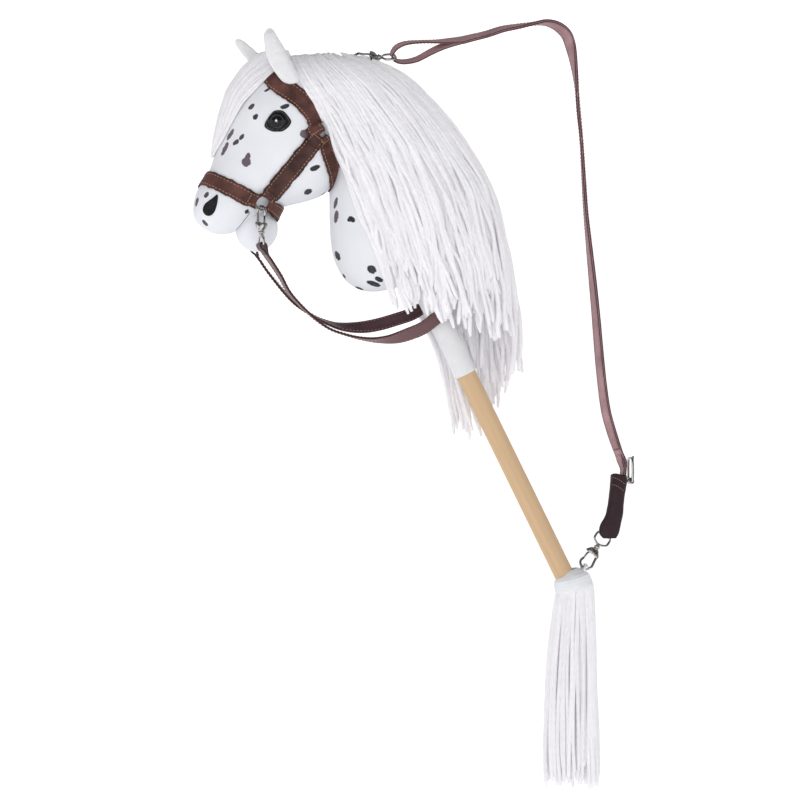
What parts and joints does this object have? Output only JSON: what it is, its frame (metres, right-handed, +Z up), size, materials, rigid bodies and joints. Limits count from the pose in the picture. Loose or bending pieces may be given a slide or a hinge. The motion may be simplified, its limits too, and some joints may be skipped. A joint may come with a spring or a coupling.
{
  "type": "hobby horse",
  "caption": "Hobby horse: a stuffed white horse's head with yarn mane and tail on a wooden stick, with halter, rein and carrying strap.",
  "frame": {"origin": "middle of the bare wood of the stick, on its axis, where a rider holds it", "axes": "+Z up as the stick is held in the picture; -X is the way the horse looks; Y is across it, its left side at -Y"},
  "size_m": [0.4978, 0.1378, 0.865],
  "materials": {
    "nickel_steel": "polished nickel",
    "red_brown_leather": "nubuck",
    "brown_leather": "matte",
    "white_fleece": "matte fleece",
    "gloss_black": "gloss",
    "black_leather": "semi-matte",
    "white_plastic": "satin",
    "white_yarn": "matte",
    "white_plush": "matte plush",
    "white_cloth": "matte",
    "beech_wood": "satin"
  },
  "bodies": {
    "horse": {"bottom_snap_eye": "nickel_steel", "brow_strap": "red_brown_leather", "buckle_frame": "nickel_steel", "carry_strap": "brown_leather", "carry_tab": "brown_leather", "cheek_strap_left": "red_brown_leather", "cheek_strap_right": "red_brown_leather", "chin_strap": "red_brown_leather", "ear_left": "white_fleece", "ear_right": "white_fleece", "eye_left": "gloss_black", "eye_patch_left": "black_leather", "eye_patch_right": "black_leather", "eye_right": "gloss_black", "eye_washer_left": "white_plastic", "eye_washer_right": "white_plastic", "forelock": "white_yarn", "head": "white_plush", "lower_jaw": "white_plush", "mane_left": "white_yarn", "mane_right": "white_yarn", "mane_tape": "white_cloth", "neck": "white_plush", "neck_ring_tab": "red_brown_leather", "neck_sleeve": "white_cloth", "noseband": "red_brown_leather", "nostril_left": "black_leather", "nostril_right": "black_leather", "rein_snap_left_eye": "nickel_steel", "rein_snap_right_eye": "nickel_steel", "rein_strap": "brown_leather", "stick": "beech_wood", "strap_keeper": "brown_leather", "tail_band": "white_cloth", "tail_loop": "white_cloth", "tail_yarn": "white_yarn", "throat_strap": "red_brown_leather", "top_snap_eye": "nickel_steel"},
    "lower_ring_left": {"lower_ring_left": "nickel_steel"},
    "upper_ring_left": {"upper_ring_left": "nickel_steel"},
    "lower_ring_right": {"lower_ring_right": "nickel_steel"},
    "upper_ring_right": {"upper_ring_right": "nickel_steel"},
    "neck_ring": {"neck_ring": "nickel_steel"},
    "rein_snap_left_hook": {"rein_snap_left_hook": "nickel_steel"},
    "rein_snap_left_gate": {"rein_snap_left_gate": "nickel_steel"},
    "rein_snap_right_hook": {"rein_snap_right_hook": "nickel_steel"},
    "rein_snap_right_gate": {"rein_snap_right_gate": "nickel_steel"},
    "top_snap_hook": {"top_snap_hook": "nickel_steel"},
    "top_snap_gate": {"top_snap_gate": "nickel_steel"},
    "bottom_snap_hook": {"bottom_snap_hook": "nickel_steel"},
    "bottom_snap_gate": {"bottom_snap_gate": "nickel_steel"},
    "buckle_prong": {"buckle_prong": "nickel_steel"}
  },
  "joints": [
    {"name": "lower_ring_left_turn", "type": "hinge", "parent": "horse", "child": "lower_ring_left", "pos_m": [-0.289, -0.03602, 0.298], "axis": [0, 1, 0], "continuous": true},
    {"name": "upper_ring_left_turn", "type": "hinge", "parent": "horse", "child": "upper_ring_left", "pos_m": [-0.23, -0.05094, 0.371], "axis": [0, 1, 0], "continuous": true},
    {"name": "lower_ring_right_turn", "type": "hinge", "parent": "horse", "child": "lower_ring_right", "pos_m": [-0.289, 0.03595, 0.298], "axis": [0, 1, 0], "continuous": true},
    {"name": "upper_ring_right_turn", "type": "hinge", "parent": "horse", "child": "upper_ring_right", "pos_m": [-0.23, 0.05096, 0.371], "axis": [0, 1, 0], "continuous": true},
    {"name": "neck_ring_turn", "type": "hinge", "parent": "horse", "child": "neck_ring", "pos_m": [-0.18696, 0, 0.46005], "axis": [0.1, 0, -0.995], "continuous": true},
    {"name": "rein_snap_left_swivel", "type": "hinge", "parent": "horse", "child": "rein_snap_left_hook", "pos_m": [-0.29048, -0.03602, 0.28963], "axis": [0, 0, 1], "range_deg": [-8, 8]},
    {"name": "rein_snap_left_gate_hinge", "type": "hinge", "parent": "rein_snap_left_hook", "child": "rein_snap_left_gate", "pos_m": [-0.2883, -0.03984, 0.27263], "axis": [-0.8693, -0.4943, 0], "range_deg": [0, 24], "stiffness_Nm_per_rad": 0.03, "springref_deg": -17.19},
    {"name": "rein_snap_right_swivel", "type": "hinge", "parent": "horse", "child": "rein_snap_right_hook", "pos_m": [-0.29048, 0.03595, 0.28963], "axis": [0, 0, 1], "range_deg": [-8, 8]},
    {"name": "rein_snap_right_gate_hinge", "type": "hinge", "parent": "rein_snap_right_hook", "child": "rein_snap_right_gate", "pos_m": [-0.2883, 0.03977, 0.27263], "axis": [0.8693, -0.4943, 0], "range_deg": [0, 24], "stiffness_Nm_per_rad": 0.03, "springref_deg": -17.19},
    {"name": "top_snap_swivel", "type": "hinge", "parent": "horse", "child": "top_snap_hook", "pos_m": [-0.1785, 0, 0.4609], "axis": [-0.995, 0, -0.1], "range_deg": [-8, 8]},
    {"name": "top_snap_gate_hinge", "type": "hinge", "parent": "top_snap_hook", "child": "top_snap_gate", "pos_m": [-0.16197, 0.00221, 0.46639], "axis": [-0.0502, -0.8649, 0.4994], "range_deg": [0, 24], "stiffness_Nm_per_rad": 0.03, "springref_deg": -17.19},
    {"name": "bottom_snap_swivel", "type": "hinge", "parent": "horse", "child": "bottom_snap_hook", "pos_m": [0.081, 0, -0.1025], "axis": [-0.5593, 0, -0.829], "range_deg": [-8, 8]},
    {"name": "bottom_snap_gate_hinge", "type": "hinge", "parent": "bottom_snap_hook", "child": "bottom_snap_gate", "pos_m": [0.08735, 0.0022, -0.08628], "axis": [-0.4145, -0.866, 0.2797], "range_deg": [0, 24], "stiffness_Nm_per_rad": 0.03, "springref_deg": -17.19},
    {"name": "buckle_prong_hinge", "type": "hinge", "parent": "horse", "child": "buckle_prong", "pos_m": [0.1335, 0, -0.0085], "axis": [0, 1, 0], "range_deg": [0, 75]}
  ]
}
